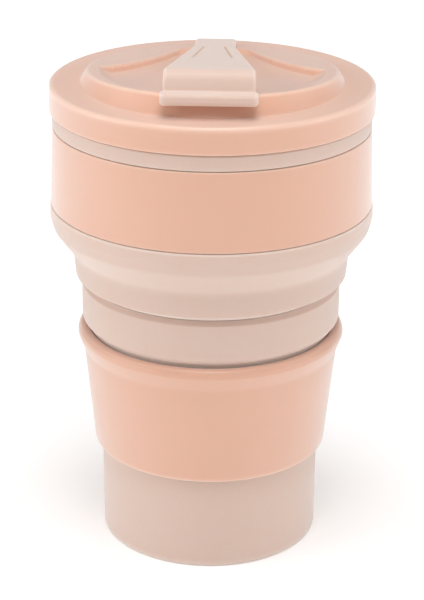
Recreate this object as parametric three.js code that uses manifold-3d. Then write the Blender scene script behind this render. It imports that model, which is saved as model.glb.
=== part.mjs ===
// A collapsible travel cup: a folding silicone body, a plastic collar ring, a plastic heat sleeve
// and a press-on lid with a silicone sip flap.
// Millimetres, +Z up. The origin is the centre of the base, and the drinking side faces -Y.

import * as THREE from 'three';
import { mergeVertices } from 'three/addons/utils/BufferGeometryUtils.js';
import Module from 'manifold-3d';

const wasm = await Module();
wasm.setup();

// ---------------------------------------------------------------- driving dimensions

const TURN_STEPS = 48;            // flats round each turned piece
const GAP = 0.3;                  // clearance between neighbouring pieces
const SMALL_EDGE = 0.3;           // bevel on thin edges
const OVERLAP = 1.0;              // how far solids that are joined reach into each other
const REACH = 20.0;               // how far a cutting shape runs past the piece

// silicone body, from the base up
const BASE_RADIUS = 32.0;
const BASE_EDGE = 1.0;            // bevel round the foot
const BASE_WALL = 2.0;
const BASE_FLOOR = 2.6;
const BASE_STRAIGHT_TOP = 28.0;   // the plain wall that shows below the sleeve
const BASE_TOP_RADIUS = 34.8;     // under the sleeve the wall leans out to this
const BASE_TOP = 64.0;
const FOLD_WALL = 1.8;            // the sections that turn inside out are thinner
const LOWER_FOLD = 65.5;          // height of the lowest fold line
const NECK_RADIUS = 35.5;         // outside of the wall at that fold
const MIDDLE_FOLD = 79.5;
const CREASE_RADIUS = 37.4;       // outside of the wall just above the middle fold
const LOWER_SECTION_RADIUS = 37.4;
const LOWER_SECTION_CURL = 1.1;   // the wall curls out from the neck in two steps of this
const UPPER_SECTION_FOOT = 39.1;  // radius above the bevel that leads down to the crease
const UPPER_SECTION_BEVEL = 1.8;
const UPPER_SECTION_RADIUS = 39.8;
const UPPER_SECTION_TOP = 88.0;   // the shoulder starts here
const SHOULDER_KNEE = { radius: 41.5, height: 90.3 };
const SHOULDER_FOOT_RADIUS = 44.3;
const SHOULDER_RADIUS = 46.1;     // rounded bead below the collar ring
const SHOULDER_BOTTOM = 96.5;
const SHOULDER_TOP = 102.3;
const COLLAR_RADIUS = 43.0;       // silicone wall behind the ring
const COLLAR_WALL = 2.2;
const BAND_RADIUS = 45.0;         // silicone band that shows between ring and lid
const BAND_BOTTOM = 125.1;
const BAND_TOP = 129.4;
const COLLAR_TOP = 134.4;         // the rim that stands up into the lid
const COLLAR_EDGE = 0.5;

// collar ring
const RING_TOP_RADIUS = 45.0;
const RING_BOTTOM_RADIUS = 45.8;
const RING_EDGE = 0.4;

// heat sleeve
const SLEEVE_BOTTOM = 28.7;
const SLEEVE_BOTTOM_RADIUS = 34.1;
const SLEEVE_NECK = 56.5;         // the lip flares out above this
const SLEEVE_NECK_RADIUS = 37.1;
const SLEEVE_LIP_RADIUS = 38.8;
const SLEEVE_LIP = 2.2;           // height of the lip
const SLEEVE_TOP = 66.2;
const SLEEVE_WALL = 1.6;

// lid
const LID_RADIUS = 45.8;
const LID_TOP = 137.2;            // flat border round the raised middle
const LID_EDGE = 1.5;             // rounding of the outer edge
const LID_BOTTOM = BAND_TOP + GAP;
const LID_SKIRT = 2.4;
const LID_COVER = 2.2;
const PLUG_RADIUS = 39.6;         // wall that plugs the cup's mouth
const PLUG_WALL = 2.0;
const PLUG_BOTTOM = 127.5;
const LID_MIDDLE_UNDERSIDE = 133.2;
const SEAL_BOTTOM = 129.8;
const SEAL_HEIGHT = 2.6;
const SEAL_DEPTH = 1.2;

// raised middle of the lid: a wedge, high at the drinking side, with a fan-shaped hollow in its top
const SPOUT_RADIUS = 37.0;
const SPOUT_DRAFT = 0.55;         // how far the wall leans in for each mm of height
const SPOUT_FRONT_RISE = 5.3;     // height over the border at the front ridge
const SPOUT_FRONT_Y = -34.0;
const SPOUT_BACK_Y = 46.0;        // the sloping top would meet the border here
const FAN_FLOOR_RISE = 1.05;
const FAN_FRONT_RISE = 4.9;
const FAN_FRONT_Y = -33.0;
const FAN_MIDDLE_Y = 0.0;         // the fan's floor climbs more steeply in front of this
const FAN_CORNER = { x: 31.0, y: 1.8 };
const FAN_BEND = { x: 16.5, y: 10.5 };
const FAN_NECK = { x: 7.0, y: 37.5 };
const SIP_HOLE = { y: -22.0, length: 12.0, width: 5.0 };

// sip flap and its anchor
const FLAP_HALF_WIDTH_BACK = 6.0;
const FLAP_HALF_WIDTH_FRONT = 12.2;
const FLAP_BACK_Y = 38.9;
const FLAP_STRAIGHT_Y = 22.0;     // the narrow strap is parallel behind this
const FLAP_FRONT_Y = -34.6;
const FLAP_BACK_TOP = 139.1;
const FLAP_BACK_BOTTOM = 137.9;
const FLAP_FRONT_TOP = 149.0;
const FLAP_FRONT_BOTTOM = 143.2;
const FLAP_BEND_Y = -31.0;        // the top rolls over into the front face here
const FLAP_BEND = 3.0;
const FLAP_SEAT = 138.55;         // underside of the flap over the middle of the fan
const TAB = { halfWidth: 13.0, frontY: -39.0, backY: -35.4, bottom: 141.0, top: 144.0, corner: 1.3 };
const TAB_EDGE = 0.5;
const NUB_LENGTH = 3.0;
const GROOVE = { width: 0.8, depth: 0.5, wideX: 5.5, wideY: -5.7, narrowX: 3.0, narrowY: 20.0 };
const ANCHOR = { halfWidth: 4.6, frontY: 29.5, backY: 38.4, thickness: 1.2, top: 137.5 };
const ANCHOR_STEM = { y: 32.6, radius: 2.4, buttonRadius: 4.2, buttonThickness: 1.6 };

// ---------------------------------------------------------------- materials

const plastic = new THREE.MeshStandardMaterial({ color: '#e6b49a', roughness: 0.45, metalness: 0 });
const silicone = new THREE.MeshStandardMaterial({ color: '#dcc3b5', roughness: 0.7, metalness: 0 });

// ---------------------------------------------------------------- helpers

// A closed geometry becomes a solid: vertices merged, triangles facing out.
function solid(geometry) {
  const bare = geometry.clone();
  bare.deleteAttribute('normal');
  bare.deleteAttribute('uv');
  const merged = mergeVertices(bare, 1e-4);
  const place = merged.attributes.position;
  const corners = Array.from(merged.index.array);
  const triangles = [];
  let volume = 0;
  const [a, b, c] = [new THREE.Vector3(), new THREE.Vector3(), new THREE.Vector3()];
  for (let i = 0; i < corners.length; i += 3) {
    const [p, q, r] = corners.slice(i, i + 3);
    if (p === q || q === r || r === p) continue;
    triangles.push([p, q, r]);
    a.fromBufferAttribute(place, p);
    b.fromBufferAttribute(place, q);
    c.fromBufferAttribute(place, r);
    volume += a.dot(b.cross(c));
  }
  const facingOut = volume > 0 ? triangles : triangles.map(([p, q, r]) => [p, r, q]);
  return new wasm.Manifold(new wasm.Mesh({
    numProp: 3,
    vertProperties: Float32Array.from(place.array),
    triVerts: Uint32Array.from(facingOut.flat()),
  }));
}

function turned(profile, steps = TURN_STEPS) {
  const points = profile.map(([radius, height]) => new THREE.Vector2(radius, height));
  return solid(new THREE.LatheGeometry(points, steps).rotateX(Math.PI / 2));
}

// A closed ring profile: the outline is repeated back to its first point.
function turnedRing(profile) {
  return turned([...profile, profile[0]]);
}

// A plan outline (x, y) raised between two heights.
function raised(shape, bottom, top, curveSegments = 8) {
  const options = { depth: top - bottom, bevelEnabled: false, curveSegments };
  return solid(new THREE.ExtrudeGeometry(shape, options).translate(0, 0, bottom));
}

// A side outline (y, z) drawn out to both sides of the middle plane.
function sideways(outline, halfWidth) {
  const shape = new THREE.Shape(outline.map(([y, z]) => new THREE.Vector2(y, z)));
  const geometry = new THREE.ExtrudeGeometry(shape, { depth: 2 * halfWidth, bevelEnabled: false });
  geometry.translate(0, 0, -halfWidth);
  const axes = new THREE.Matrix4().makeBasis(
    new THREE.Vector3(0, 1, 0), new THREE.Vector3(0, 0, 1), new THREE.Vector3(1, 0, 0));
  return solid(geometry.applyMatrix4(axes));
}

function upright(x, y, radius, bottom, top, steps = 24) {
  const geometry = new THREE.CylinderGeometry(radius, radius, top - bottom, steps).rotateX(Math.PI / 2);
  return solid(geometry.translate(x, y, (top + bottom) / 2));
}

// Points on a quarter round between two corners of a turned profile.
function roundedCorner(centre, radius, from, to, steps = 3) {
  const points = [];
  for (let i = 0; i <= steps; i += 1) {
    const angle = THREE.MathUtils.degToRad(from + (to - from) * i / steps);
    points.push([centre[0] + radius * Math.cos(angle), centre[1] + radius * Math.sin(angle)]);
  }
  return points;
}

function stadium(cx, cy, length, width) {
  const straight = (length - width) / 2;
  const shape = new THREE.Shape();
  shape.absarc(cx + straight, cy, width / 2, -Math.PI / 2, Math.PI / 2, false);
  shape.absarc(cx - straight, cy, width / 2, Math.PI / 2, 1.5 * Math.PI, false);
  return shape;
}

const cup = new THREE.Group();

function addPiece(name, manifold, material) {
  const { vertProperties, triVerts } = manifold.getMesh();
  const geometry = new THREE.BufferGeometry();
  geometry.setAttribute('position', new THREE.BufferAttribute(vertProperties, 3));
  geometry.setIndex(new THREE.BufferAttribute(triVerts, 1));
  geometry.computeVertexNormals();
  const mesh = new THREE.Mesh(geometry, material);
  mesh.name = name;
  cup.add(mesh);
}

// ---------------------------------------------------------------- silicone body

function baseCup() {
  const top = LOWER_FOLD - GAP / 2;
  return turned([
    [0, 0],
    [BASE_RADIUS - BASE_EDGE, 0],
    [BASE_RADIUS, BASE_EDGE],
    [BASE_RADIUS, BASE_STRAIGHT_TOP],
    [BASE_TOP_RADIUS, BASE_TOP],
    [NECK_RADIUS, top],
    [NECK_RADIUS - FOLD_WALL, top],
    [BASE_TOP_RADIUS - BASE_WALL, BASE_TOP],
    [BASE_RADIUS - BASE_WALL, BASE_STRAIGHT_TOP],
    [BASE_RADIUS - BASE_WALL, BASE_FLOOR + BASE_EDGE],
    [BASE_RADIUS - BASE_WALL - BASE_EDGE, BASE_FLOOR],
    [0, BASE_FLOOR],
  ]);
}

// The narrow section: it curls out from the base wall and stands straight up to the middle fold.
function foldWallLower() {
  const bottom = LOWER_FOLD + GAP / 2;
  const top = MIDDLE_FOLD - GAP / 2;
  const outer = LOWER_SECTION_RADIUS;
  const curl = LOWER_SECTION_CURL;
  return turnedRing([
    [NECK_RADIUS, bottom],
    [outer - curl / 2, bottom + curl],
    [outer, bottom + 2 * curl],
    [outer, top],
    [outer - FOLD_WALL, top],
    [outer - FOLD_WALL, bottom + 2 * curl],
    [NECK_RADIUS - FOLD_WALL, bottom],
  ]);
}

// The wider section and the lower part of the shoulder above it.
function foldWallUpper() {
  const bottom = MIDDLE_FOLD + GAP / 2;
  const top = SHOULDER_BOTTOM - GAP / 2;
  const slantingWall = FOLD_WALL * Math.SQRT2;
  return turnedRing([
    [CREASE_RADIUS, bottom],
    [UPPER_SECTION_FOOT, bottom + UPPER_SECTION_BEVEL],
    [UPPER_SECTION_RADIUS, UPPER_SECTION_TOP],
    [SHOULDER_KNEE.radius, SHOULDER_KNEE.height],
    [SHOULDER_FOOT_RADIUS, top],
    [SHOULDER_FOOT_RADIUS - slantingWall, top],
    [UPPER_SECTION_RADIUS - FOLD_WALL, UPPER_SECTION_TOP + FOLD_WALL],
    [UPPER_SECTION_FOOT - FOLD_WALL, bottom + UPPER_SECTION_BEVEL],
    [CREASE_RADIUS - FOLD_WALL, bottom],
  ]);
}

// The upright wall behind the ring, with the shoulder bead below it and the band above it.
function collarWall() {
  const bead = (SHOULDER_TOP - SHOULDER_BOTTOM) / 2;
  const beadCentre = [SHOULDER_RADIUS - bead, SHOULDER_BOTTOM + bead];
  const inside = COLLAR_RADIUS - COLLAR_WALL;
  return turnedRing([
    [inside, SHOULDER_BOTTOM],
    ...roundedCorner(beadCentre, bead, -90, 60, 5),
    [COLLAR_RADIUS, SHOULDER_TOP],
    [COLLAR_RADIUS, BAND_BOTTOM],
    [BAND_RADIUS - SMALL_EDGE, BAND_BOTTOM],
    [BAND_RADIUS, BAND_BOTTOM + SMALL_EDGE],
    [BAND_RADIUS, BAND_TOP - SMALL_EDGE],
    [BAND_RADIUS - SMALL_EDGE, BAND_TOP],
    [COLLAR_RADIUS, BAND_TOP],
    [COLLAR_RADIUS, COLLAR_TOP - COLLAR_EDGE],
    [COLLAR_RADIUS - COLLAR_EDGE, COLLAR_TOP],
    [inside + COLLAR_EDGE, COLLAR_TOP],
    [inside, COLLAR_TOP - COLLAR_EDGE],
  ]);
}

// ---------------------------------------------------------------- plastic ring and sleeve

function upperRing() {
  const bottom = SHOULDER_TOP + GAP;
  const top = BAND_BOTTOM - GAP;
  const inside = COLLAR_RADIUS + GAP;
  return turnedRing([
    [inside, bottom],
    [RING_BOTTOM_RADIUS - RING_EDGE, bottom],
    [RING_BOTTOM_RADIUS, bottom + RING_EDGE],
    [RING_TOP_RADIUS, top - RING_EDGE],
    [RING_TOP_RADIUS - RING_EDGE, top],
    [inside, top],
  ]);
}

function heatSleeve() {
  const lipRound = SLEEVE_WALL / 2;
  const lipCentre = [SLEEVE_LIP_RADIUS - lipRound, SLEEVE_TOP - lipRound];
  return turnedRing([
    [SLEEVE_BOTTOM_RADIUS - SLEEVE_WALL, SLEEVE_BOTTOM],
    [SLEEVE_BOTTOM_RADIUS - SMALL_EDGE, SLEEVE_BOTTOM],
    [SLEEVE_BOTTOM_RADIUS, SLEEVE_BOTTOM + SMALL_EDGE],
    [SLEEVE_NECK_RADIUS, SLEEVE_NECK],
    [SLEEVE_LIP_RADIUS, SLEEVE_TOP - SLEEVE_LIP],
    ...roundedCorner(lipCentre, lipRound, 0, 180, 6),
    [SLEEVE_NECK_RADIUS - SLEEVE_WALL, SLEEVE_NECK],
  ]);
}

// ---------------------------------------------------------------- lid

// Height of the wedge's sloping top, and of the fan's floor, at a distance along Y.
function slopeHeight(y) {
  return LID_TOP + SPOUT_FRONT_RISE * (SPOUT_BACK_Y - y) / (SPOUT_BACK_Y - SPOUT_FRONT_Y);
}

function fanFloorHeight(y) {
  const behind = FAN_FLOOR_RISE / (FAN_NECK.y - FAN_MIDDLE_Y);
  const inFront = (FAN_FRONT_RISE - FAN_FLOOR_RISE) / (FAN_MIDDLE_Y - FAN_FRONT_Y);
  const climb = y > FAN_MIDDLE_Y ? behind : inFront;
  return LID_TOP + FAN_FLOOR_RISE + climb * (FAN_MIDDLE_Y - y);
}

function turnedCover() {
  const inside = PLUG_RADIUS - PLUG_WALL;
  const skirtInside = LID_RADIUS - LID_SKIRT;
  const underside = LID_TOP - LID_COVER;
  const edge = roundedCorner([LID_RADIUS - LID_EDGE, LID_TOP - LID_EDGE], LID_EDGE, 90, 0, 4);
  const grooveBottom = SEAL_BOTTOM - GAP;
  const grooveTop = SEAL_BOTTOM + SEAL_HEIGHT + GAP;
  return turned([
    [0, LID_TOP],
    ...edge,
    [LID_RADIUS, LID_BOTTOM],
    [skirtInside, LID_BOTTOM],
    [skirtInside, underside],
    [PLUG_RADIUS, underside],
    [PLUG_RADIUS, grooveTop],
    [PLUG_RADIUS - SEAL_DEPTH, grooveTop],
    [PLUG_RADIUS - SEAL_DEPTH, grooveBottom],
    [PLUG_RADIUS, grooveBottom],
    [PLUG_RADIUS, PLUG_BOTTOM],
    [inside, PLUG_BOTTOM],
    [inside, LID_MIDDLE_UNDERSIDE],
    [0, LID_MIDDLE_UNDERSIDE],
  ]);
}

// The leaning wall of the raised middle, made smaller by an inset for the hollow underneath.
function spoutCone(inset, bottom, top) {
  const radiusAt = (z) => SPOUT_RADIUS - inset - SPOUT_DRAFT * Math.max(0, z - LID_TOP);
  return turned([
    [0, bottom],
    [radiusAt(bottom), bottom],
    [radiusAt(LID_TOP), LID_TOP],
    [radiusAt(top), top],
    [0, top],
  ]);
}

function spoutWedge() {
  const far = SPOUT_RADIUS + OVERLAP;
  const under = sideways([
    [-far, LID_TOP - OVERLAP],
    [far, LID_TOP - OVERLAP],
    [far, slopeHeight(far)],
    [-far, slopeHeight(-far)],
  ], far);
  return spoutCone(0, LID_TOP - OVERLAP, LID_TOP + SPOUT_FRONT_RISE + OVERLAP).intersect(under);
}

// Plan of the hollow: round at the front, with two wings whose back edges run in to the hinge.
function fanOutline() {
  const radius = Math.hypot(FAN_CORNER.x, FAN_CORNER.y);
  const corner = Math.atan2(FAN_CORNER.y, FAN_CORNER.x);
  const shape = new THREE.Shape();
  shape.absarc(0, 0, radius, Math.PI - corner, 2 * Math.PI + corner, false);
  shape.quadraticCurveTo(FAN_BEND.x, FAN_BEND.y, FAN_NECK.x, FAN_NECK.y);
  shape.lineTo(-FAN_NECK.x, FAN_NECK.y);
  shape.quadraticCurveTo(-FAN_BEND.x, FAN_BEND.y, -FAN_CORNER.x, FAN_CORNER.y);
  return shape;
}

function fanHollow() {
  const far = SPOUT_RADIUS;
  const high = LID_TOP + REACH;
  const above = sideways([
    [far, fanFloorHeight(far)],
    [far, high],
    [-far, high],
    [-far, fanFloorHeight(-far)],
    [FAN_MIDDLE_Y, fanFloorHeight(FAN_MIDDLE_Y)],
  ], far);
  return raised(fanOutline(), LID_TOP - OVERLAP, high, 12).intersect(above);
}

// The spout is a shell: this is the room under it.
function spoutUnderside() {
  const start = LID_MIDDLE_UNDERSIDE - OVERLAP;
  const below = sideways([
    [-SPOUT_RADIUS, start],
    [FAN_MIDDLE_Y, start],
    [FAN_MIDDLE_Y, fanFloorHeight(FAN_MIDDLE_Y) - LID_COVER],
    [-SPOUT_RADIUS, fanFloorHeight(-SPOUT_RADIUS) - LID_COVER],
  ], SPOUT_RADIUS);
  return spoutCone(LID_COVER, start, LID_TOP + SPOUT_FRONT_RISE).intersect(below);
}

function anchorPlan(inset) {
  const x = ANCHOR.halfWidth - inset;
  return new THREE.Shape([
    new THREE.Vector2(-x, ANCHOR.frontY + inset),
    new THREE.Vector2(x, ANCHOR.frontY + inset),
    new THREE.Vector2(x, ANCHOR.backY - inset),
    new THREE.Vector2(-x, ANCHOR.backY - inset),
  ]);
}

function anchorRoom() {
  const floor = ANCHOR.top - ANCHOR.thickness - GAP;
  const below = LID_MIDDLE_UNDERSIDE - OVERLAP;
  const stem = upright(0, ANCHOR_STEM.y, ANCHOR_STEM.radius + GAP, below, LID_TOP);
  return raised(anchorPlan(-GAP), floor, LID_TOP + REACH).add(stem);
}

function lid() {
  const plan = stadium(0, SIP_HOLE.y, SIP_HOLE.length, SIP_HOLE.width);
  const sipHole = raised(plan, LID_MIDDLE_UNDERSIDE - OVERLAP, LID_TOP + REACH);
  return turnedCover()
    .add(spoutWedge())
    .subtract(fanHollow())
    .subtract(spoutUnderside())
    .subtract(sipHole)
    .subtract(anchorRoom());
}

function lidSealRing() {
  const inside = PLUG_RADIUS - SEAL_DEPTH + GAP;
  const outside = COLLAR_RADIUS - COLLAR_WALL - GAP;
  const middle = SEAL_BOTTOM + SEAL_HEIGHT / 2;
  return turnedRing([
    [inside, SEAL_BOTTOM],
    [PLUG_RADIUS, SEAL_BOTTOM],
    [outside, middle],
    [PLUG_RADIUS, SEAL_BOTTOM + SEAL_HEIGHT],
    [inside, SEAL_BOTTOM + SEAL_HEIGHT],
  ]);
}

// ---------------------------------------------------------------- sip flap

function flapTopHeight(y) {
  const along = (FLAP_BACK_Y - y) / (FLAP_BACK_Y - FLAP_BEND_Y);
  return FLAP_BACK_TOP + along * (FLAP_FRONT_TOP - FLAP_BACK_TOP);
}

// Plan of the flap: a narrow strap at the hinge that widens towards the drinking side.
function flapPlan() {
  const half = [
    new THREE.Vector2(FLAP_HALF_WIDTH_BACK, FLAP_BACK_Y),
    new THREE.Vector2(FLAP_HALF_WIDTH_BACK, FLAP_STRAIGHT_Y),
    new THREE.Vector2(FLAP_HALF_WIDTH_FRONT, FLAP_BEND_Y),
    new THREE.Vector2(FLAP_HALF_WIDTH_FRONT, FLAP_FRONT_Y),
  ];
  const mirrored = half.map((p) => new THREE.Vector2(-p.x, p.y)).reverse();
  return new THREE.Shape([...mirrored, ...half]);
}

// Side view of the flap without its tab.
function flapSide() {
  return [
    [FLAP_BACK_Y, FLAP_BACK_BOTTOM],
    [FLAP_BACK_Y, FLAP_BACK_TOP],
    ...roundedCorner([FLAP_BEND_Y, FLAP_FRONT_TOP - FLAP_BEND], FLAP_BEND, 90, 180, 4),
    [FLAP_FRONT_Y, FLAP_FRONT_BOTTOM],
    [FAN_MIDDLE_Y, FLAP_SEAT],
  ];
}

// The finger tab hangs in front of the spout's wall, and a thin neck joins it to the flap.
function flapTab() {
  const { halfWidth, frontY, backY, bottom, top, corner } = TAB;
  const neckBottom = LID_TOP + SPOUT_FRONT_RISE + 1.5 * GAP;
  const joined = FLAP_FRONT_Y + OVERLAP;
  const side = sideways([
    [frontY, bottom + TAB_EDGE],
    [frontY + TAB_EDGE, bottom],
    [backY, bottom],
    [backY, neckBottom - TAB_EDGE],
    [backY + TAB_EDGE, neckBottom],
    [joined, FLAP_FRONT_BOTTOM],
    [joined, top],
    [frontY + TAB_EDGE, top],
    [frontY, top - TAB_EDGE],
  ], halfWidth);
  const plan = new THREE.Shape();
  plan.moveTo(halfWidth, joined);
  plan.lineTo(-halfWidth, joined);
  plan.absarc(-halfWidth + corner, frontY + corner, corner, Math.PI, 1.5 * Math.PI, false);
  plan.absarc(halfWidth - corner, frontY + corner, corner, 1.5 * Math.PI, 2 * Math.PI, false);
  return side.intersect(raised(plan, bottom - OVERLAP, top + OVERLAP, 4));
}

// A shallow straight groove on the flap's top, from its wide end to its narrow end.
function flapGroove(side) {
  const across = side * (GROOVE.narrowX - GROOVE.wideX);
  const along = GROOVE.narrowY - GROOVE.wideY;
  const middleY = (GROOVE.wideY + GROOVE.narrowY) / 2;
  const fall = flapTopHeight(GROOVE.narrowY) - flapTopHeight(GROOVE.wideY);
  const geometry = new THREE.BoxGeometry(GROOVE.width, Math.hypot(across, along), 2 * GROOVE.depth);
  geometry.rotateX(Math.atan2(fall, along));
  geometry.rotateZ(Math.atan2(-across, along));
  geometry.translate(side * (GROOVE.wideX + GROOVE.narrowX) / 2, middleY, flapTopHeight(middleY));
  return solid(geometry);
}

function sipFlap() {
  const slab = sideways(flapSide(), 2 * FLAP_HALF_WIDTH_FRONT)
    .intersect(raised(flapPlan(), LID_TOP - OVERLAP, LID_TOP + REACH));
  const nubPlan = stadium(0, SIP_HOLE.y, SIP_HOLE.length - 2 * GAP, SIP_HOLE.width - 2 * GAP);
  const holeFloor = fanFloorHeight(SIP_HOLE.y);
  const nub = raised(nubPlan, holeFloor - NUB_LENGTH, holeFloor + 2 * OVERLAP);
  return slab.add(nub).add(flapTab()).subtract(flapGroove(1)).subtract(flapGroove(-1));
}

// The strap's fixed end: a plate let into the lid, with a stem through it and a button below.
function flapAnchor() {
  const plateBottom = ANCHOR.top - ANCHOR.thickness;
  const buttonTop = LID_MIDDLE_UNDERSIDE - GAP;
  const { y, radius, buttonRadius, buttonThickness } = ANCHOR_STEM;
  return raised(anchorPlan(0), plateBottom, ANCHOR.top)
    .add(upright(0, y, radius, buttonTop - buttonThickness, plateBottom + ANCHOR.thickness))
    .add(upright(0, y, buttonRadius, buttonTop - buttonThickness, buttonTop));
}

// ---------------------------------------------------------------- assembly

addPiece('base_cup', baseCup(), silicone);
addPiece('fold_wall_lower', foldWallLower(), silicone);
addPiece('fold_wall_upper', foldWallUpper(), silicone);
addPiece('collar_wall', collarWall(), silicone);
addPiece('upper_ring', upperRing(), plastic);
addPiece('heat_sleeve', heatSleeve(), plastic);
addPiece('lid', lid(), plastic);
addPiece('lid_seal_ring', lidSealRing(), silicone);
addPiece('sip_flap', sipFlap(), silicone);
addPiece('flap_anchor', flapAnchor(), silicone);

export default cup;
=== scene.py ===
"""A collapsible travel cup: the looks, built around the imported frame.

The frame is in metres with +Z up and the drinking side at -Y. Sizes here are in millimetres, like a
drawing's, and each mesh is scaled once when it is made.
"""

import math

import bmesh
import bpy
import numpy as np
from mathutils import Matrix, Vector


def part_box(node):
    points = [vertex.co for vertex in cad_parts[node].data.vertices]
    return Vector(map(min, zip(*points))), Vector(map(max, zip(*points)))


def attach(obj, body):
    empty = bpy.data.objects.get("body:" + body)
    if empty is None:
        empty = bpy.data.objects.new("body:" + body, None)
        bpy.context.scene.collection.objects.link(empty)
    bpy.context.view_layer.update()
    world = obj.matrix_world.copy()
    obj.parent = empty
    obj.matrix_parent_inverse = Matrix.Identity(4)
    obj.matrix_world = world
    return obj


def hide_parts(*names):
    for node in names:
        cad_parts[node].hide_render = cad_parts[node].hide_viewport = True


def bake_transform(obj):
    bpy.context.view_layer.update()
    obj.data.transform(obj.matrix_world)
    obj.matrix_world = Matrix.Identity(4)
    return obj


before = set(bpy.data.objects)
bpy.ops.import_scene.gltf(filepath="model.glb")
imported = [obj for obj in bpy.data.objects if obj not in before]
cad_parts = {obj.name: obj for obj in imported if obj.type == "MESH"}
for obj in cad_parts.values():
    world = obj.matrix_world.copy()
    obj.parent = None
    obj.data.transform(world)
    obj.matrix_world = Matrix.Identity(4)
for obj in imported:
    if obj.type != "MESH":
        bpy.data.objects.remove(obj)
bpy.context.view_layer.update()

MM = 0.001                  # one millimetre in the frame's metres
TURN_STEPS = 256            # sides of a turned piece
ROUND_STEPS = 7             # segments in a rounded corner
CORNER_SHARE = 0.48         # the most of a side that one rounded corner may take
SEAM = 0.05                 # a hair between pieces that meet
GAP = 0.3                   # room between pieces that move or come apart
LONGEST_RUN = 1.0           # spacing of the points along an outline
SHORTEST_RUN = 0.2          # closer points say little about how a surface bends
CURVATURE = "curvature"     # the mesh attribute that the painted edge highlights and the painted crease shade read
SMOOTHING_ROUNDS = 4        # each spreads the curvature to the next points


# ------------------------------------------------------------------ sizes from the frame

def limits(node):
    """A node's outer radius, lowest and highest z, in millimetres."""
    low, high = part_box(node)
    return high[0] / MM, low[2] / MM, high[2] / MM


BASE_LIMITS = limits("base_cup")
LOWER_LIMITS = limits("fold_wall_lower")
UPPER_LIMITS = limits("fold_wall_upper")
COLLAR_LIMITS = limits("collar_wall")
RING_LIMITS = limits("upper_ring")
SLEEVE_LIMITS = limits("heat_sleeve")
LID_LIMITS = limits("lid")

LID_SKIRT_LOW = 129.7           # the lid's outer edge; its plug reaches lower


# ------------------------------------------------------------------ camera

CAMERA_DISTANCE = 526.0     # from the cup's axis, level
CAMERA_HEIGHT = 285.0
CAMERA_AZIMUTH = 1.45       # degrees round towards +X
CAMERA_PITCH = 22.15        # degrees below the horizon
CAMERA_YAW = -0.04          # degrees, so that the axis sits a little left of the middle
CAMERA_ROLL = 0.475
CAMERA_LENS = 116.5


def add_camera():
    data = bpy.data.cameras.new("camera")
    data.lens = CAMERA_LENS
    data.sensor_width = 36.0
    data.clip_start = 0.01
    camera = bpy.data.objects.new("camera", data)
    bpy.context.scene.collection.objects.link(camera)
    azimuth = math.radians(CAMERA_AZIMUTH)
    place = Vector((
        math.sin(azimuth) * CAMERA_DISTANCE,
        -math.cos(azimuth) * CAMERA_DISTANCE,
        CAMERA_HEIGHT,
    ))
    turn = (
        Matrix.Rotation(azimuth + math.radians(CAMERA_YAW), 4, "Z")
        @ Matrix.Rotation(math.radians(90 - CAMERA_PITCH), 4, "X")
        @ Matrix.Rotation(math.radians(CAMERA_ROLL), 4, "Z")
    )
    camera.matrix_world = Matrix.Translation(place * MM) @ turn
    bpy.context.scene.camera = camera


add_camera()


# ------------------------------------------------------------------ mesh helpers

def link(name, mesh):
    piece = bpy.data.objects.new(name, mesh)
    bpy.context.scene.collection.objects.link(piece)
    return piece


def mesh_piece(name, points, faces):
    """A smooth-shaded piece from points in millimetres."""
    mesh = bpy.data.meshes.new(name)
    mesh.from_pydata([tuple(MM * value for value in point) for point in points], [], faces)
    mesh.update()
    work = bmesh.new()
    work.from_mesh(mesh)
    bmesh.ops.recalc_face_normals(work, faces=work.faces)
    work.to_mesh(mesh)
    work.free()
    for polygon in mesh.polygons:
        polygon.use_smooth = True
    return link(name, mesh)


def rounded(corners, closed=False):
    """A fine outline through corners (a, b, radius): every corner with a radius is rounded off."""
    count = len(corners)
    points = []
    for index, (a, b, radius) in enumerate(corners):
        here = Vector((a, b))
        if radius == 0 or (not closed and index in (0, count - 1)):
            points.append((a, b))
            continue
        before = Vector(corners[index - 1][:2]) - here
        after = Vector(corners[(index + 1) % count][:2]) - here
        opening = before.angle(after)
        cut = radius / math.tan(opening / 2)
        cut = min(cut, CORNER_SHARE * before.length, CORNER_SHARE * after.length)
        radius = cut * math.tan(opening / 2)
        inward = (before.normalized() + after.normalized()).normalized()
        middle = here + inward * (radius / math.sin(opening / 2))
        first = here + before.normalized() * cut - middle
        last = here + after.normalized() * cut - middle
        sweep = first.angle_signed(last)
        for step in range(ROUND_STEPS + 1):
            spoke = Vector(first)
            spoke.rotate(Matrix.Rotation(-sweep * step / ROUND_STEPS, 2))
            points.append(tuple(middle + spoke))
    return points


def spaced(points, longest, closed=False):
    """The same outline with points added so that no stretch is longer than a limit."""
    result = []
    ends = points[1:] + points[:1] if closed else points[1:]
    for start, end in zip(points, ends):
        pieces = max(1, math.ceil(math.dist(start, end) / longest))
        for step in range(pieces):
            share = step / pieces
            result.append(tuple(s + (e - s) * share for s, e in zip(start, end)))
    if not closed:
        result.append(points[-1])
    return result


def turned(name, outline, closed=True, steps=TURN_STEPS):
    """A piece turned about Z from an outline of (radius, z). An open outline starts and ends on the axis."""
    points, faces, rows = [], [], []
    for radius, z in outline:
        if radius == 0:
            rows.append([len(points)] * steps)
            points.append((0, 0, z))
            continue
        rows.append(list(range(len(points), len(points) + steps)))
        for step in range(steps):
            angle = math.tau * step / steps
            points.append((radius * math.cos(angle), radius * math.sin(angle), z))
    following = rows[1:] + rows[:1] if closed else rows[1:]
    for row, after in zip(rows, following):
        for step in range(steps):
            ahead = (step + 1) % steps
            corners = [row[step], row[ahead], after[ahead], after[step]]
            unique = list(dict.fromkeys(corners))
            if len(unique) > 2:
                faces.append(unique)
    return mesh_piece(name, points, faces)


def sharpen_normals(piece):
    """Flat stretches stay flat beside the small rounded edges."""
    modifier = piece.modifiers.new("weighted", "WEIGHTED_NORMAL")
    modifier.keep_sharp = True
    return piece


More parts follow.
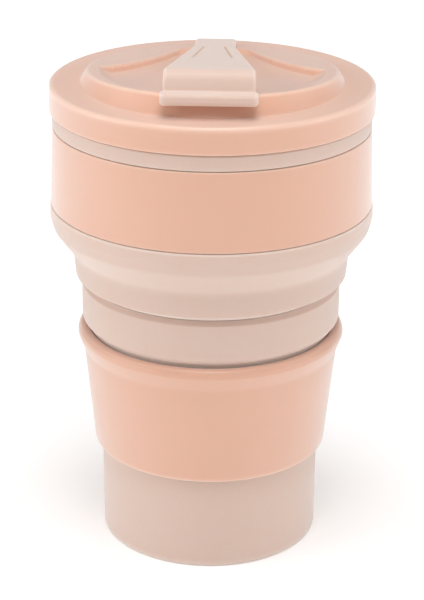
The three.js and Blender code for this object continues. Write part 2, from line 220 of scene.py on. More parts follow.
def mark_curvature(piece):
    """Stores how tightly the surface bends at each point, in 1/mm: above 0 on edges, below 0 in creases."""
    mesh = piece.data
    count = len(mesh.vertices)
    places, normals = np.empty(3 * count, np.float32), np.empty(3 * count, np.float32)
    mesh.vertices.foreach_get("co", places)
    mesh.vertex_normals.foreach_get("vector", normals)
    places, normals = places.reshape(-1, 3) / MM, normals.reshape(-1, 3)
    ends = np.empty(2 * len(mesh.edges), np.int32)
    mesh.edges.foreach_get("vertices", ends)
    first, second = ends.reshape(-1, 2).T
    run = places[second] - places[first]
    reach = np.maximum((run * run).sum(axis=1), SHORTEST_RUN ** 2)
    here = -2 * (normals[first] * run).sum(axis=1) / reach
    there = 2 * (normals[second] * run).sum(axis=1) / reach
    neighbours = np.maximum(np.bincount(ends, minlength=count), 1)
    bend = (np.bincount(first, here, count) + np.bincount(second, there, count)) / neighbours
    for _ in range(SMOOTHING_ROUNDS):
        nearby = np.bincount(first, bend[second], count) + np.bincount(second, bend[first], count)
        bend = (bend + nearby / neighbours) / 2
    attribute = mesh.attributes.new(CURVATURE, "FLOAT", "POINT")
    attribute.data.foreach_set("value", bend.astype(np.float32))


def smoothstep(low, high, value):
    share = np.clip((value - low) / (high - low), 0.0, 1.0)
    return share * share * (3 - 2 * share)


# ------------------------------------------------------------------ materials

HIGHLIGHT_BEND = (0.08, 0.3)         # curvature, in 1/mm, where the painted edge highlight starts and where it is full
# curvature, in 1/mm, where the painted shade in creases starts and where it is full
CREASE_SHADE_BEND = (-0.06, -0.4)


def node_tree(name):
    """A new material, its node tree and its shader."""
    material = bpy.data.materials.new(name)
    material.use_nodes = True
    tree = material.node_tree
    shader = tree.nodes["Principled BSDF"]
    return material, tree, shader


def add_noise(tree, coordinates, scale, detail=3.0, roughness=0.5):
    """Noise with this many waves to a metre."""
    noise = tree.nodes.new("ShaderNodeTexNoise")
    noise.inputs["Scale"].default_value = scale
    noise.inputs["Detail"].default_value = detail
    noise.inputs["Roughness"].default_value = roughness
    tree.links.new(coordinates, noise.inputs["Vector"])
    return noise.outputs["Fac"]


def add_range(tree, value, low, high, from_low=0.3, from_high=0.7):
    """Maps a value to low..high. The range it comes from is by default where noise mostly lies."""
    mapping = tree.nodes.new("ShaderNodeMapRange")
    mapping.inputs["From Min"].default_value = from_low
    mapping.inputs["From Max"].default_value = from_high
    mapping.inputs["To Min"].default_value = low
    mapping.inputs["To Max"].default_value = high
    tree.links.new(value, mapping.inputs["Value"])
    return mapping.outputs["Result"]


def add_mix(tree, factor, first, second):
    """Mixes two colours. Each is a colour or another node's output."""
    mix = tree.nodes.new("ShaderNodeMix")
    mix.data_type = "RGBA"
    tree.links.new(factor, mix.inputs["Factor"])
    for socket, colour in ((mix.inputs["A"], first), (mix.inputs["B"], second)):
        if isinstance(colour, tuple):
            socket.default_value = (*colour, 1.0)
        else:
            tree.links.new(colour, socket)
    return mix.outputs["Result"]


def add_bumps(tree, shader, layers):
    """Stacks bumps of (height, strength, distance in metres) onto the shader's normal."""
    normal = None
    for height, strength, distance in layers:
        bump = tree.nodes.new("ShaderNodeBump")
        bump.inputs["Strength"].default_value = strength
        bump.inputs["Distance"].default_value = distance
        tree.links.new(height, bump.inputs["Height"])
        if normal is not None:
            tree.links.new(normal, bump.inputs["Normal"])
        normal = bump.outputs["Normal"]
    tree.links.new(normal, shader.inputs["Normal"])


def add_painted_light_mask(tree, bends, strength):
    """A mask for painted light, read from how the surface bends: 0 where it bends less than the first of
    bends, and strength from the second on.
    """
    reader = tree.nodes.new("ShaderNodeAttribute")
    reader.attribute_name = CURVATURE
    light_painted = add_range(tree, reader.outputs["Fac"], 0.0, 1.0, *bends)
    return add_range(tree, light_painted, 0.0, strength, 0.0, 1.0)


def moulded_plastic(name, colour, pale, deep):
    """Satin polypropylene: a fine moulded texture, faint flow variation and a painted highlight that makes
    its rounded edges paler.
    """
    material, tree, shader = node_tree(name)
    place = tree.nodes.new("ShaderNodeTexCoord").outputs["Object"]
    flow = add_noise(tree, place, 28.0, 4.0, 0.6)
    grain = add_noise(tree, place, 2600.0, 2.0, 0.5)
    mottled = add_mix(tree, add_range(tree, flow, 0.0, 0.5), colour, deep)
    # Rounded edges are mixed towards pale: a painted highlight.
    light_painted = add_mix(tree, add_painted_light_mask(tree, HIGHLIGHT_BEND, 0.6), mottled, pale)
    tree.links.new(light_painted, shader.inputs["Base Color"])
    blotches = add_noise(tree, place, 90.0, 5.0, 0.6)
    tree.links.new(add_range(tree, blotches, 0.3, 0.4), shader.inputs["Roughness"])
    shader.inputs["Subsurface Weight"].default_value = 0.25
    shader.inputs["Subsurface Radius"].default_value = (1.0, 0.45, 0.3)
    shader.inputs["Subsurface Scale"].default_value = 0.0015
    shader.inputs["IOR"].default_value = 1.49
    shader.inputs["Sheen Weight"].default_value = 0.8
    shader.inputs["Sheen Roughness"].default_value = 0.5
    waves = add_noise(tree, place, 60.0, 2.0, 0.4)
    add_bumps(tree, shader, [(waves, 0.06, 0.0008), (grain, 0.05, 0.00004)])
    return material


def soft_silicone(name, colour, pale, deep, crease_shade):
    """Matte silicone rubber: a dusty sheen, a very fine bloom, slow colour drift, a painted highlight on its
    rounded edges and painted shade in its creases.
    """
    material, tree, shader = node_tree(name)
    place = tree.nodes.new("ShaderNodeTexCoord").outputs["Object"]
    drift = add_noise(tree, place, 35.0, 4.0, 0.55)
    bloom = add_noise(tree, place, 2200.0, 3.0, 0.6)
    tinted = add_mix(tree, add_range(tree, drift, 0.0, 0.6), colour, deep)
    dusty = add_mix(tree, add_range(tree, bloom, 0.0, 0.16, 0.45, 0.75), tinted, pale)
    # Rounded edges are mixed towards pale: a painted highlight.
    light_painted = add_mix(tree, add_painted_light_mask(tree, HIGHLIGHT_BEND, 0.35), dusty, pale)
    # Creases are mixed towards a dark warm brown: painted shade, tinted like light bounced off the peach
    # plastic.
    crease_shaded = add_mix(tree, add_painted_light_mask(tree, CREASE_SHADE_BEND, 0.75), light_painted, crease_shade)
    tree.links.new(crease_shaded, shader.inputs["Base Color"])
    tree.links.new(add_range(tree, bloom, 0.58, 0.74), shader.inputs["Roughness"])
    shader.inputs["Sheen Weight"].default_value = 0.6
    shader.inputs["Sheen Roughness"].default_value = 0.5
    shader.inputs["Subsurface Weight"].default_value = 0.35
    shader.inputs["Subsurface Radius"].default_value = (1.0, 0.6, 0.45)
    shader.inputs["Subsurface Scale"].default_value = 0.002
    shader.inputs["IOR"].default_value = 1.41
    add_bumps(tree, shader, [(drift, 0.05, 0.0006), (bloom, 0.12, 0.00003)])
    return material


PLASTIC = moulded_plastic(
    "peach_plastic",
    colour=(0.76, 0.44, 0.315),
    # the colour of the painted highlight on rounded edges
    pale=(0.86, 0.61, 0.49),
    deep=(0.73, 0.41, 0.285),
)
SILICONE = soft_silicone(
    "beige_silicone",
    colour=(0.70, 0.52, 0.44),
    # the colour of the fine bloom, and of the painted highlight on rounded edges
    pale=(0.8, 0.68, 0.61),
    deep=(0.68, 0.5, 0.41),
    # the colour of the painted shade in creases
    crease_shade=(0.62, 0.34, 0.2),
)


def finish_piece(piece, material, body=None):
    """Gives a piece its material and the body it rides on. A piece without a body is left unattached."""
    piece.data.materials.append(material)
    mark_curvature(piece)
    sharpen_normals(piece)
    if body:
        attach(piece, body)
    return piece


# ------------------------------------------------------------------ silicone body

LOWER_FOLD = (BASE_LIMITS[2] + LOWER_LIMITS[1]) / 2
MIDDLE_FOLD = (LOWER_LIMITS[2] + UPPER_LIMITS[1]) / 2
BASE_RADIUS = 32.0
BASE_FOOT = 27.2                # inside edge of the ring that the cup stands on
BASE_RECESS = 0.5               # height of the bottom inside that ring
BASE_FLOOR = 2.6                # height of the floor inside the cup
BASE_STRAIGHT = 28.5            # the wall is upright up to here, and flares above
BASE_WALL = 2.0
NECK_BEND = (34.8, 62.8)        # (radius, z) where the flare ends
NECK_RADIUS = 35.5              # outside of the wall at the lowest fold
LOWER_RADIUS = LOWER_LIMITS[0]
CREASE_RADIUS = 36.3            # outside of the wall at the middle fold
UPPER_RADIUS = 39.8
UPPER_FOOT = 39.1               # the wider section is a little narrower at its foot
UPPER_TOP = 88.4                # where the shoulder starts
SHOULDER_KNEE = (45.2, 95.6)    # (radius, z)
BEAD_RADIUS = COLLAR_LIMITS[0]
BEAD_LOW = 99.4
SHOULDER_TOP = 102.35
COLLAR_INSIDE = 40.8
COLLAR_OUTSIDE = 43.0
BAND_RADIUS = 45.0              # the band between the ring and the lid
FOLD_WALL = 1.8
ROW = 0.5                       # spacing of the rows that bend


def base_cup():
    high = LOWER_FOLD - SEAM
    bend_radius, bend_z = NECK_BEND
    corners = [
        (0, BASE_RECESS, 0),
        (BASE_FOOT - 0.7, BASE_RECESS, 0.4),
        (BASE_FOOT, 0, 0.4),
        (BASE_RADIUS - 0.1, 0, 1.3),
        (BASE_RADIUS, BASE_STRAIGHT, 6),
        (bend_radius, bend_z, 2),
        (NECK_RADIUS, high, 0),
        (NECK_RADIUS - FOLD_WALL, high, 0),
        (bend_radius - 1.9, bend_z - 0.3, 2),
        (BASE_RADIUS - BASE_WALL, BASE_STRAIGHT - 0.5, 6),
        (BASE_RADIUS - BASE_WALL - 0.2, BASE_FLOOR, 3.5),
        (0, BASE_FLOOR, 0),
    ]
    piece = turned("base_cup_body", spaced(rounded(corners), LONGEST_RUN), closed=False)
    finish_piece(piece, SILICONE, "base")
    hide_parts("base_cup")


def lower_fold_wall():
    """The narrow section above the sleeve, with a shadowed foot."""
    low, high = LOWER_FOLD + SEAM, MIDDLE_FOLD - SEAM
    inside = LOWER_RADIUS - FOLD_WALL
    corners = [
        (NECK_RADIUS, low, 0),
        (NECK_RADIUS, low + 0.5, 0.4),
        (LOWER_RADIUS - 0.8, low + 1.2, 0.4),
        (LOWER_RADIUS, low + 2.3, 0.8),
        (LOWER_RADIUS, high - 1.4, 0.6),
        (CREASE_RADIUS, high, 0),
        (CREASE_RADIUS - FOLD_WALL, high, 0),
        (inside, high - 1.2, 0.8),
        (inside, low + 2.4, 1.3),
        (NECK_RADIUS - FOLD_WALL, low, 0),
    ]
    piece = turned("lower_fold_wall", spaced(rounded(corners, True), ROW, True))
    finish_piece(piece, SILICONE)
    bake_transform(piece)
    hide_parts("fold_wall_lower")


def upper_fold_wall():
    """The wider section, the sloping shoulder and the bead below the ring."""
    low, high = MIDDLE_FOLD + SEAM, SHOULDER_TOP
    corners = [
        (CREASE_RADIUS, low, 0),
        (UPPER_FOOT, low + 1.7, 0.5),
        (UPPER_RADIUS, UPPER_TOP, 6),
        (*SHOULDER_KNEE, 3.5),
        (BEAD_RADIUS + 0.1, BEAD_LOW, 2.6),
        (BEAD_RADIUS - 0.1, high, 0.6),
        (COLLAR_OUTSIDE, high, 0),
        (COLLAR_INSIDE, high, 0),
        (COLLAR_INSIDE, BEAD_LOW - FOLD_WALL, 3.5),
        (UPPER_RADIUS - FOLD_WALL, UPPER_TOP + 0.9, 2.5),
        (UPPER_FOOT - 0.1 - FOLD_WALL, low + 1.9, 0.9),
        (CREASE_RADIUS - FOLD_WALL, low, 0),
    ]
    piece = turned("upper_fold_wall", spaced(rounded(corners, True), ROW, True))
    finish_piece(piece, SILICONE)
    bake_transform(piece)
    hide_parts("fold_wall_upper")


def collar():
    """The wall behind the ring, with the band that shows above it and the rim inside the lid."""
    low, band_low, band_high = SHOULDER_TOP + SEAM, RING_LIMITS[2] + GAP, LID_SKIRT_LOW - GAP
    corners = [
        (COLLAR_OUTSIDE, low, 0),
        (COLLAR_OUTSIDE, band_low, 0.2),
        (BAND_RADIUS, band_low, 0.4),
        (BAND_RADIUS, band_high, 0.6),
        (COLLAR_OUTSIDE + 0.2, band_high, 0.3),
        (COLLAR_OUTSIDE, COLLAR_LIMITS[2], 0.8),
        (COLLAR_INSIDE, COLLAR_LIMITS[2], 0.8),
        (COLLAR_INSIDE, low, 0),
    ]
    piece = turned("collar_band", spaced(rounded(corners, True), LONGEST_RUN, True))
    finish_piece(piece, SILICONE, "collar")
    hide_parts("collar_wall")


# ------------------------------------------------------------------ ring and sleeve

RING_CLOSER = (0.12, 0.1)       # how far the ring reaches towards the bead and the band
RING_TAPER = 0.8
SLEEVE_FOOT = 34.1              # outside radius at the bottom
SLEEVE_WALL = 1.6
SLEEVE_NECK = (37.1, 58.4)      # (radius, z) where the lip flares out


def upper_ring():
    """A hoop that bulges very slightly and tapers towards the lid."""
    radius, low, high = RING_LIMITS
    low, high = low - RING_CLOSER[0], high + RING_CLOSER[1]
    corners = [
        (COLLAR_OUTSIDE + GAP, low, 0.2),
        (radius, low, 0.35),
        (radius - 0.25, low + 9, 12),
        (radius - RING_TAPER, high, 0.45),
        (COLLAR_OUTSIDE + GAP, high, 0.2),
    ]
    piece = turned("collar_ring", spaced(rounded(corners, True), LONGEST_RUN, True))
    finish_piece(piece, PLASTIC, "collar")
    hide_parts("upper_ring")


def heat_sleeve():
    """A flared sleeve whose lip rounds over towards the cup's neck."""
    lip, low, high = SLEEVE_LIMITS
    neck_radius, neck_z = SLEEVE_NECK
    corners = [
        (SLEEVE_FOOT - SLEEVE_WALL, low, 0.2),
        (SLEEVE_FOOT, low, 0.7),
        (neck_radius, neck_z, 6),
        (lip, high - 3.5, 0.4),
        (lip - 0.2, high - 2.5, 1.9),
        (lip - 1.0, high - 1.3, 1.9),
        (lip - 1.9, high - 1.0, 0.5),
        (NECK_RADIUS + 0.2, high - 1.25, 0.2),
        (NECK_RADIUS, high - 3.2, 0.5),
        (neck_radius - 2.1, neck_z + 0.6, 4),
    ]
    piece = turned("heat_sleeve_shell", spaced(rounded(corners, True), LONGEST_RUN, True))
    finish_piece(piece, PLASTIC, "sleeve")
    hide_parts("heat_sleeve")


# ------------------------------------------------------------------ lid

LID_TOP = 137.2                 # the flat border
LID_RADIUS = LID_LIMITS[0]
LID_EDGE = 2.2                  # rounding of the border's outer edge
LID_SKIN = 2.2
SKIRT_WALL = 2.4
PLUG_RADIUS = 39.6
PLUG_INSIDE = 37.6
SEAL_GROOVE = (129.5, 132.7)    # lowest and highest z
SEAL_GROOVE_DEPTH = 1.2
SEAL_PROUD = 0.9
MIDDLE_UNDERSIDE = 133.2
SPOUT_RADIUS = 37.0             # the raised middle, at its foot
SPOUT_DRAFT = 0.55
SPOUT_FRONT = (-34.0, 5.3)      # (y, rise) of the ridge
SPOUT_BACK_Y = 46.0             # the sloping top would meet the border here
RIDGE_ROUNDING = 1.0
SPOUT_FOOT_ROUNDING = 0.4
FAN_FLOOR = 1.05                # rise of the hollow's floor across the middle of the lid
FAN_FLOOR_ROUNDING = 0.6
FAN_FRONT = (-33.0, 4.9)        # (y, rise) of the floor at the ridge
FAN_CORNER = Vector((31.0, 1.8))        # (x, y) of the right wing's outer end
FAN_BEND = Vector((16.5, 10.5))         # pulls the wing's back edge into a curve
FAN_NECK = Vector((7.0, 37.5))          # where the edge ends, beside the hinge
FAN_NECK_DROP = 0.5             # how far below the border the floor would be at the neck
FAN_RIM_SLOPE = (-1.2, 3.0)     # from and to how far inside the fan's rim the hollow deepens
FAN_WING_SLOPE = (-0.4, 0.65)   # the same across the wings' back edges
WING_STEPS = 60
SIP_HOLE_Y = -22.0
SIP_HOLE_LENGTH = 12.0
SIP_HOLE_WIDTH = 5.0
LID_STEPS = 640
TOP_ROWS = [                    # (first radius, last radius, rows), closest where the top bends most
    (0.6, 12, 24),
    (12.25, 38.5, 106),
    (39.4, 43.3, 5),
]
TOP_END = 43.55                 # radius where the turned rim takes over from the sampled top
UNDERSIDE_ROWS = (36, 1, 40)
UNDERSIDE_START = 36.6
UNDERSIDE_ROOM = 34.8           # radius within which the underside follows the floor of the hollow
SIP_HOLE_CUT = (130, 150)       # lowest and highest z of the cutter, past both sides of the lid's top
STEM_CUT = (130, 145)
SLOT_STEPS = 24
CIRCLE_STEPS = 48
ANCHOR_YS = (29.5, 38.4)
ANCHOR_HALF_WIDTH = 4.6
ANCHOR_TOP = 137.5
ANCHOR_THICKNESS = 1.2
STEM_Y = 32.6
STEM_RADIUS = 2.4
STEM_STEPS = 64
BUTTON_RADIUS = 4.2
BUTTON_THICKNESS = 1.6


def soft_minimum(a, b, reach):
    """The smaller of two heights, with the corner between them rounded over a reach."""
    share = np.clip(0.5 + 0.5 * (b - a) / reach, 0.0, 1.0)
    return b * (1 - share) + a * share - reach * share * (1 - share)


def wing_edge():
    """Points along the back edge of the fan's right wing, from its corner in to the hinge."""
    points = []
    for step in range(WING_STEPS + 1):
        t = step / WING_STEPS
        points.append(FAN_CORNER * (1 - t) ** 2 + FAN_BEND * 2 * t * (1 - t) + FAN_NECK * t ** 2)
    points.insert(0, FAN_CORNER + (FAN_CORNER - FAN_BEND) / 2)
    return np.array([tuple(point) for point in points])


WING_EDGE = wing_edge()


def ahead_of_wing(x, y):
    """How far a point lies in front of the wing's back edge; negative behind it."""
    across, along = np.abs(x)[..., None], y[..., None]
    gaps = np.hypot(across - WING_EDGE[:, 0], along - WING_EDGE[:, 1])
    distance = gaps.min(axis=-1)
    edge_y = np.interp(np.abs(x), WING_EDGE[::-1, 0], WING_EDGE[::-1, 1])
    return np.where(y < edge_y, distance, -distance)


def fan_floor(y):
    """Height of the hollow's floor over the border: none at the hinge, climbing towards the front."""
    front_y, front_rise = FAN_FRONT
    front_part = FAN_FLOOR + (front_rise - FAN_FLOOR) * y / front_y
    back_part = FAN_FLOOR - (FAN_FLOOR + FAN_NECK_DROP) * y / FAN_NECK.y
    return -soft_minimum(-front_part, -back_part, FAN_FLOOR_ROUNDING)


def lid_rise(x, y):
    """Height of the lid's top over its border."""
    radius = np.hypot(x, y)
    front_y, front_rise = SPOUT_FRONT
    slope = front_rise * (SPOUT_BACK_Y - y) / (SPOUT_BACK_Y - front_y)
    wall = (SPOUT_RADIUS - radius) / SPOUT_DRAFT
    body = soft_minimum(slope, wall, RIDGE_ROUNDING)
    body = -soft_minimum(-body, np.zeros_like(body), SPOUT_FOOT_ROUNDING)
    inside_rim = smoothstep(*FAN_RIM_SLOPE, FAN_CORNER.length - radius)
    inside_wing = smoothstep(*FAN_WING_SLOPE, ahead_of_wing(x, y))
    fan = inside_rim * inside_wing
    return body * (1 - fan) + np.minimum(body, fan_floor(y)) * fan


def around(radius, steps):
    """The x and y of points round a circle, from a quarter of a step past the X axis."""
    angle = (np.arange(steps) + 0.25) * math.tau / steps
    return radius * np.cos(angle), radius * np.sin(angle)


def stadium(y, length, width, inset=0.0):
    """Points of a slot that is long across X."""
    radius, reach = width / 2 - inset, (length - width) / 2
    points = []
    for step in range(2 * SLOT_STEPS + 2):
        angle = math.pi * (step - (step > SLOT_STEPS)) / SLOT_STEPS - math.pi / 2
        side = reach if step <= SLOT_STEPS else -reach
        points.append((side + radius * math.cos(angle), y + radius * math.sin(angle)))
    return points


def rectangle(half_width, front_y, back_y):
    return [(-half_width, front_y), (half_width, front_y), (half_width, back_y), (-half_width, back_y)]


def circle(y, radius):
    return [(x, y + along) for x, along in zip(*around(radius, CIRCLE_STEPS))]


def lofted(name, rows):
    """A closed piece through rows of points, all of one length, with a flat cap at each end."""
    count = len(rows[0])
    points = [point for row in rows for point in row]
    faces = [list(range(count)), list(range(len(points) - count, len(points)))]
    for row in range(len(rows) - 1):
        for step in range(count):
            ahead = (step + 1) % count
            here, after = row * count, (row + 1) * count
            faces.append((here + step, here + ahead, after + ahead, after + step))
    return mesh_piece(name, points, faces)


def prism(outline, low, high):
    return lofted("cutter", [[(x, y, z) for x, y in outline] for z in (low, high)])


def cut(piece, cutter):
    """Takes the cutter's shape out of the piece."""
    modifier = piece.modifiers.new("cut", "BOOLEAN")
    modifier.operation = "DIFFERENCE"
    modifier.solver = "EXACT"
    modifier.object = cutter
    apply_modifiers(piece)
    bpy.data.objects.remove(cutter)


def apply_modifiers(piece):
    bpy.context.view_layer.update()
    graph = bpy.context.evaluated_depsgraph_get()
    mesh = bpy.data.meshes.new_from_object(piece.evaluated_get(graph))
    piece.modifiers.clear()
    piece.data = mesh
    for polygon in mesh.polygons:
        polygon.use_smooth = True


def lid_rim():
    """Outline of the lid from its border over the edge, skirt and plug to the underside."""
    skirt_inside = LID_RADIUS - SKIRT_WALL
    groove_low, groove_high = SEAL_GROOVE
    groove_inside = PLUG_RADIUS - SEAL_GROOVE_DEPTH
    return spaced(rounded([
        (TOP_END, LID_TOP, 0),
        (LID_RADIUS, LID_TOP, LID_EDGE),
        (LID_RADIUS, LID_SKIRT_LOW, 0.4),
        (skirt_inside, LID_SKIRT_LOW, 0.3),
        (skirt_inside, LID_TOP - LID_SKIN, 1.0),
        (PLUG_RADIUS, LID_TOP - LID_SKIN, 0.5),
        (PLUG_RADIUS, groove_high, 0.2),
        (groove_inside, groove_high, 0.2),
        (groove_inside, groove_low, 0.2),
        (PLUG_RADIUS, groove_low, 0.2),
        (PLUG_RADIUS, LID_LIMITS[1], 0.5),
        (PLUG_INSIDE, LID_LIMITS[1], 0.5),
        (PLUG_INSIDE, MIDDLE_UNDERSIDE, 0.8),
        (UNDERSIDE_START, MIDDLE_UNDERSIDE, 0),
    ]), LONGEST_RUN)


def lid_underside(x, y):
    """Flat, but raised under the front of the hollow to keep the skin's thickness."""
    room = smoothstep(0.0, 3.0, -y) * smoothstep(0.0, 2.0, UNDERSIDE_ROOM - np.hypot(x, y))
    return MIDDLE_UNDERSIDE + room * (LID_TOP + fan_floor(y) - LID_SKIN - MIDDLE_UNDERSIDE)


def lid():
    """The top is a sampled height; the rim, skirt and plug are turned."""
    rows = []
    for radius in np.concatenate([np.linspace(*span) for span in TOP_ROWS]):
        x, y = around(radius, LID_STEPS)
        rows.append(zip(x, y, LID_TOP + lid_rise(x, y)))
    for radius, z in lid_rim():
        x, y = around(radius, LID_STEPS)
        rows.append(zip(x, y, np.full(LID_STEPS, z)))
    for radius in np.linspace(*UNDERSIDE_ROWS):
        x, y = around(radius, LID_STEPS)
        rows.append(zip(x, y, lid_underside(x, y)))
    piece = lofted("lid_shell", [list(row) for row in rows])
    cut(piece, prism(stadium(SIP_HOLE_Y, SIP_HOLE_LENGTH, SIP_HOLE_WIDTH), *SIP_HOLE_CUT))
    front_y, back_y = ANCHOR_YS
    seat = rectangle(ANCHOR_HALF_WIDTH + GAP, front_y - GAP, back_y + GAP)
    cut(piece, prism(seat, ANCHOR_TOP - ANCHOR_THICKNESS - GAP, STEM_CUT[1]))
    cut(piece, prism(circle(STEM_Y, STEM_RADIUS + GAP), *STEM_CUT))
    finish_piece(piece, PLASTIC, "lid")
    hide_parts("lid")


def lid_seal():
    """A soft ring with two lips."""
    low, high = SEAL_GROOVE[0] + GAP, SEAL_GROOVE[1] - GAP
    inside, outside = PLUG_RADIUS - SEAL_GROOVE_DEPTH + GAP, PLUG_RADIUS + SEAL_PROUD
    corners = [
        (inside, low, 0.1),
        (PLUG_RADIUS, low, 0.1),
        (outside, low + 0.6, 0.25),
        (PLUG_RADIUS + 0.1, low + 1.25, 0.2),
        (outside, low + 1.9, 0.25),
        (PLUG_RADIUS, high, 0.1),
        (inside, high, 0.1),
    ]
    piece = turned("lid_seal", rounded(corners, True))
    finish_piece(piece, SILICONE, "lid")
    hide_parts("lid_seal_ring")


# ------------------------------------------------------------------ sip flap

FLAP_BACK_Y = 38.9
FLAP_FRONT_Y = -39.0
FLAP_TOP = [                    # (y, z, corner radius) along the middle, from the hinge forward
    (FLAP_BACK_Y, 138.3, 0),
    (FLAP_BACK_Y - 0.4, 139.1, 0.5),
    (-32.4, 149.2, 3.6),
    (-34.7, 144.0, 0.6),
    (-38.8, 143.9, 0.7),
    (FLAP_FRONT_Y, 142.5, 0),
]
FLAP_BOTTOM = [                 # (y, z, corner radius)
    (FLAP_BACK_Y, 138.2, 0),
    (FLAP_BACK_Y - 0.4, 137.9, 0.3),
    (0.0, 138.55, 8),
    (-34.9, 143.0, 0.5),
    (-35.4, 141.0, 0.5),
    (-38.8, 141.0, 0.5),
    (FLAP_FRONT_Y, 142.1, 0),
]
FLAP_HALF_WIDTH = [             # (y, half width, corner radius)
    (FLAP_BACK_Y, 5.6, 0),
    (FLAP_BACK_Y - 0.8, 6.0, 0.6),
    (22.0, 6.0, 12),
    (-31.0, 12.2, 6),
    (-34.7, 12.2, 0.4),
    (-35.0, 13.0, 0.3),
    (-37.7, 13.0, 1.0),
    (-38.7, 12.5, 0.8),
    (FLAP_FRONT_Y, 11.6, 0),
]
FLAP_EDGE = 0.75                # rounding along the flap's edges
FLAP_COLUMNS = 110
FLAP_STATION = 0.8              # spacing of the sections along the flap
CLOSEST_STATION = 0.02
FLAP_SKIN = 2.0
POCKET_YS = (-29.5, 22.0)
POCKET_LOW = 135.0              # below the flap's underside, so that the pocket is open
POCKET_STEPS = 36
POCKET_EDGE = 1.5
NUB_DEPTH = 3.0                 # how far the nub reaches below the hollow's floor
GROOVE_WIDE = Vector((5.5, -5.7))       # the ends of the right groove, as (x, y)
GROOVE_NARROW = Vector((3.0, 20.0))
GROOVE_DEPTH = 0.42
GROOVE_HALF_WIDTH = 0.42


def along_flap(corners, y):
    """Reads a rounded profile, listed from the hinge forward, at positions y."""
    outline = np.array(spaced(rounded(corners), 2.0))[::-1]
    return np.interp(y, outline[:, 0], outline[:, 1])


def flap_stations(front_y, back_y):
    """Places along the flap for its sections: every corner of its outlines, and enough between."""
    ys = set()
    for corners in (FLAP_TOP, FLAP_BOTTOM, FLAP_HALF_WIDTH):
        ys.update(y for y, _ in spaced(rounded(corners), FLAP_STATION))
    kept = sorted(y for y in ys if front_y <= y <= back_y)
    return [y for y, before in zip(kept, [front_y - 1, *kept]) if y - before > CLOSEST_STATION]


def groove_depth(x, y):
    """Depth of the two grooves at a point of the flap's top."""
    run = GROOVE_NARROW - GROOVE_WIDE
    across, along = np.abs(x) - GROOVE_WIDE.x, y - GROOVE_WIDE.y
    share = np.clip((across * run.x + along * run.y) / run.length_squared, 0, 1)
    distance = np.hypot(across - share * run.x, along - share * run.y)
    return GROOVE_DEPTH * np.exp(-((distance / GROOVE_HALF_WIDTH) ** 2))


def flap_section(y, half_width, bottom, top, edge):
    """A rounded rectangle across the flap, with the grooves in its top."""
    edge = min(edge, CORNER_SHARE * (top - bottom))
    across = np.linspace(edge - half_width, half_width - edge, FLAP_COLUMNS)
    turn = np.linspace(0, math.pi, 2 * ROUND_STEPS + 1)[1:-1]
    middle_low, middle_high = bottom + edge, top - edge
    row = [(x, y, top - groove_depth(x, y)) for x in across]
    for angle in turn:
        side_z = middle_high if angle < math.pi / 2 else middle_low
        row.append((half_width - edge + edge * math.sin(angle), y, side_z + edge * math.cos(angle)))
    row += [(x, y, bottom) for x in across[::-1]]
    for angle in turn:
        side_z = middle_low if angle < math.pi / 2 else middle_high
        row.append((edge - half_width - edge * math.sin(angle), y, side_z - edge * math.cos(angle)))
    return row


def flap_body():
    rows = []
    for y in flap_stations(FLAP_FRONT_Y, FLAP_BACK_Y):
        sizes = [along_flap(corners, y) for corners in (FLAP_HALF_WIDTH, FLAP_BOTTOM, FLAP_TOP)]
        rows.append(flap_section(y, *sizes, FLAP_EDGE))
    return lofted("sip_flap_shell", rows)


def flap_pocket():
    """The hollow in the flap's underside."""
    rows = []
    for y in np.linspace(*POCKET_YS, POCKET_STEPS):
        half_width = along_flap(FLAP_HALF_WIDTH, y) - FLAP_SKIN
        ceiling = along_flap(FLAP_TOP, y) - FLAP_SKIN
        rows.append(flap_section(y, half_width, POCKET_LOW, ceiling, POCKET_EDGE))
    return lofted("pocket", rows)


def flap_plug():
    """The nub that closes the drinking hole, rounded at its lower end."""
    low = LID_TOP + fan_floor(SIP_HOLE_Y) - NUB_DEPTH
    high = along_flap(FLAP_TOP, SIP_HOLE_Y) - FLAP_SKIN / 2
    rows = []
    for inset, z in rounded([(2.0, low, 0), (GAP, low, 0.9), (GAP, low + 2, 0), (GAP, high, 0)]):
        outline = stadium(SIP_HOLE_Y, SIP_HOLE_LENGTH, SIP_HOLE_WIDTH, inset)
        rows.append([(x, y, z) for x, y in outline])
    return lofted("sip_plug", rows)


def sip_flap():
    piece = flap_body()
    cut(piece, flap_pocket())
    finish_piece(piece, SILICONE, "flap")
    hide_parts("sip_flap")
    finish_piece(flap_plug(), SILICONE, "flap")


# ------------------------------------------------------------------ flap hinge

STRAP_HALF_WIDTH = 5.5
STRAP_THICKNESS = 0.7
STRAP_EDGE = 0.3
STRAP_STEP = 0.2
STRAP_PATH = [                  # (y, z, corner radius) of its middle, from the anchor round to the flap
    (36.8, 137.1, 0),
    (39.6, 137.15, 0.6),
    (39.6, 138.7, 0.6),
    (38.2, 138.65, 0),
]


def hinge_strap():
    """The thin living hinge: its foot follows the lid, its top the flap, and it turns between."""
    path = [Vector(point) for point in spaced(rounded(STRAP_PATH), STRAP_STEP)]
    edge, flat = STRAP_HALF_WIDTH, STRAP_HALF_WIDTH - STRAP_EDGE
    section = [(-edge, 0.5), (-flat, 1), (flat, 1), (edge, 0.5)]
    rows = []
    for index, here in enumerate(path):
        run = path[min(index + 1, len(path) - 1)] - path[max(index - 1, 0)]
        side = Vector((-run.y, run.x)).normalized() * STRAP_THICKNESS / 2
        outer = [(x, *(here + side * share)) for x, share in section]
        inner = [(x, *(here - side * share)) for x, share in reversed(section)]
        rows.append(outer + inner)
    piece = lofted("hinge_strap", rows)
    finish_piece(piece, SILICONE)
    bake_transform(piece)


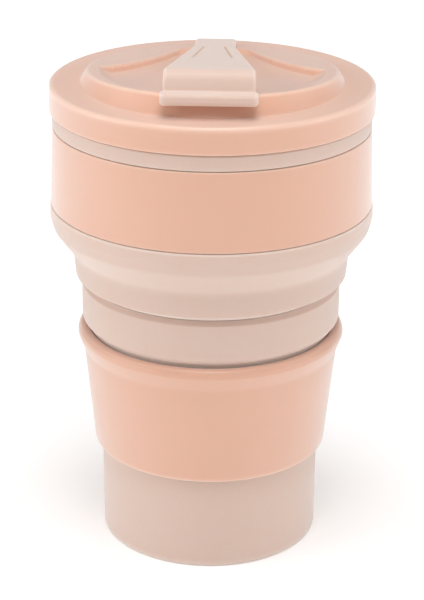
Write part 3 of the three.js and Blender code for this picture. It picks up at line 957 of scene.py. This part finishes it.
def flap_anchor():
    """The plate that lies in the lid, and the stem and button that hold it there."""
    front_y, back_y = ANCHOR_YS
    bottom = ANCHOR_TOP - ANCHOR_THICKNESS
    rows = []
    for inset, y in rounded([(0.6, front_y, 0), (0, front_y, 0.4), (0, back_y, 0.4), (0.6, back_y, 0)]):
        rows.append(flap_section(y, ANCHOR_HALF_WIDTH - inset, bottom, ANCHOR_TOP, 0.35))
    piece = lofted("anchor_plate", rows)
    finish_piece(piece, SILICONE, "lid")
    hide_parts("flap_anchor")
    stem_top = ANCHOR_TOP - ANCHOR_THICKNESS / 2
    button_top = MIDDLE_UNDERSIDE - GAP
    button_low = button_top - BUTTON_THICKNESS
    corners = [
        (0, stem_top, 0),
        (STEM_RADIUS, stem_top, 0.2),
        (STEM_RADIUS, button_top, 0.3),
        (BUTTON_RADIUS, button_top, 0.3),
        (BUTTON_RADIUS, button_low, 0.7),
        (0, button_low, 0),
    ]
    stem = turned("anchor_stem", rounded(corners), closed=False, steps=STEM_STEPS)
    stem.location = (0, STEM_Y * MM, 0)
    finish_piece(stem, SILICONE, "lid")


# ------------------------------------------------------------------ floor and light

FLOOR_SIZE = 6.0
FLOOR_GLOW = (0.16, 0.55)         # near the cup and far from it, where the lamps don't reach
FLOOR_GLOW_REACH = (0.2, 0.9)     # metres from the cup where the glow starts to change and stops
LIGHTS = [
    # name, place in metres, width, height, watts
    ("left", (-1.1, -0.25, 0.45), 0.9, 0.8, 4.6),
    ("right", (1.1, -0.25, 0.45), 0.9, 0.8, 3.2),
    ("overhead", (0.0, -0.1, 1.5), 0.9, 0.9, 11.0),
    ("front", (0.05, -0.8, 1.5), 0.9, 0.5, 6.0),
]
LIGHT_AIM = Vector((0, 0, 0.07))
WORLD_STRENGTH = 0.3
WHITE = (1, 1, 1, 1)


def floor():
    """A pale sheet that glows a little more where the lamps don't reach."""
    half = FLOOR_SIZE / 2 / MM
    outline = [(-half, -half, 0), (half, -half, 0), (half, half, 0), (-half, half, 0)]
    piece = mesh_piece("floor", outline, [(0, 1, 2, 3)])
    material, tree, shader = node_tree("pale_floor")
    place = tree.nodes.new("ShaderNodeTexCoord").outputs["Object"]
    paper = add_noise(tree, place, 40.0, 4.0, 0.6)
    tree.links.new(add_mix(tree, paper, (0.93, 0.93, 0.93), (0.95, 0.95, 0.95)), shader.inputs["Base Color"])
    shader.inputs["Roughness"].default_value = 0.9
    shader.inputs["Emission Color"].default_value = WHITE
    distance = tree.nodes.new("ShaderNodeVectorMath")
    distance.operation = "LENGTH"
    tree.links.new(place, distance.inputs[0])
    glow = add_range(tree, distance.outputs["Value"], *FLOOR_GLOW, *FLOOR_GLOW_REACH)
    tree.links.new(glow, shader.inputs["Emission Strength"])
    piece.data.materials.append(material)


def lights():
    """Soft lamps aimed at the cup, in an even pale surround."""
    for name, place, width, height, watts in LIGHTS:
        data = bpy.data.lights.new(name, "AREA")
        data.shape = "RECTANGLE"
        data.size = width
        data.size_y = height
        data.energy = watts
        light = bpy.data.objects.new(name, data)
        bpy.context.scene.collection.objects.link(light)
        light.location = place
        light.rotation_euler = (LIGHT_AIM - Vector(place)).to_track_quat("-Z", "Y").to_euler()
    world = bpy.data.worlds.new("studio")
    world.use_nodes = True
    background = world.node_tree.nodes["Background"]
    background.inputs["Color"].default_value = WHITE
    background.inputs["Strength"].default_value = WORLD_STRENGTH
    bpy.context.scene.world = world
    bpy.context.scene.view_settings.view_transform = "Standard"


# ------------------------------------------------------------------ assembly

base_cup()
lower_fold_wall()
upper_fold_wall()
collar()
upper_ring()
heat_sleeve()
lid()
lid_seal()
sip_flap()
hinge_strap()
flap_anchor()
floor()
lights()
